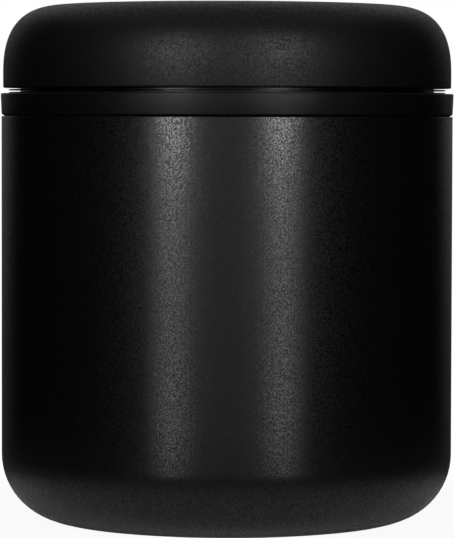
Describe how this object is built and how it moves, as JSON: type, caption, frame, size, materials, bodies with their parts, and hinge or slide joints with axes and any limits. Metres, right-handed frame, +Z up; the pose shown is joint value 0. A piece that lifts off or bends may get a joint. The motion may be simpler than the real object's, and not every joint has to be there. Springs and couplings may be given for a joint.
{
  "type": "coffee canister",
  "caption": "Round food canister for coffee with a domed lid that pumps air out when it is twisted, with check valves and a push-button release valve.",
  "frame": {"origin": "on the ground, in the middle of the base", "axes": "+Z up through the middle of the can and lid; the vacuum indicator lies towards -Y"},
  "size_m": [0.117, 0.117, 0.1333],
  "materials": {
    "powder_coated_steel": "fine matte powder coat over steel",
    "matte_black": "moulded with a fine spark texture",
    "gloss_black": "moulded, polished",
    "black_moulding": "moulded, as from a plain tool",
    "silicone": "soft, slightly translucent grey",
    "acetal": "natural off-white",
    "steel": "bright",
    "green_marker": "dyed green",
    "steel_mesh": "fine woven wire"
  },
  "bodies": {
    "canister": {"canister_body": "powder_coated_steel"},
    "lid": {"lid_base": "black_moulding", "collar": "gloss_black", "lid_gasket": "silicone", "slide_ring": "gloss_black", "intake_valve": "silicone", "hub_plate": "black_moulding", "hub_screws": "steel", "hub_trim": "gloss_black", "hub_washer": "acetal", "button_spring": "steel", "indicator_spring": "steel"},
    "dome": {"lid_dome": "matte_black", "cam_drum": "acetal", "cam_screws": "steel"},
    "piston": {"piston": "black_moulding", "piston_outer_seal": "silicone", "piston_inner_seal": "silicone", "exhaust_valve": "silicone", "follower_pins": "steel", "follower_rollers": "acetal"},
    "button": {"release_button": "gloss_black", "valve_stem": "steel", "valve_seal": "silicone"},
    "indicator": {"indicator_pin": "green_marker", "indicator_seal": "silicone"},
    "filter": {"filter_cover": "black_moulding", "filter_mesh": "steel_mesh"}
  },
  "joints": [
    {"name": "lid_lift", "type": "slide", "parent": "canister", "child": "lid", "axis": [0, 0, 1], "range_m": [0, 0.08]},
    {"name": "lid_twist", "type": "hinge", "parent": "lid", "child": "dome", "pos_m": [0, 0, 0.1119], "axis": [0, 0, 1], "range_deg": [0, 60]},
    {"name": "piston_stroke", "type": "slide", "parent": "lid", "child": "piston", "axis": [0, 0, 1], "range_m": [0, 0.007]},
    {"name": "button_press", "type": "slide", "parent": "lid", "child": "button", "axis": [0, 0, -1], "range_m": [0, 0.0025], "stiffness_N_per_m": 800, "springref_m": -0.003, "deforming": ["button_spring"]},
    {"name": "indicator_drop", "type": "slide", "parent": "lid", "child": "indicator", "axis": [0, 0, -1], "range_m": [0, 0.003], "stiffness_N_per_m": 60, "springref_m": -0.004, "deforming": ["indicator_spring"]},
    {"name": "filter_turn", "type": "hinge", "parent": "lid", "child": "filter", "pos_m": [0, 0, 0.07635], "axis": [0, 0, 1], "range_deg": [0, 40]}
  ],
  "couplings": [
    {"joint": "piston_stroke", "follows": "lid_twist", "m_per_rad": 0.0066845}
  ]
}
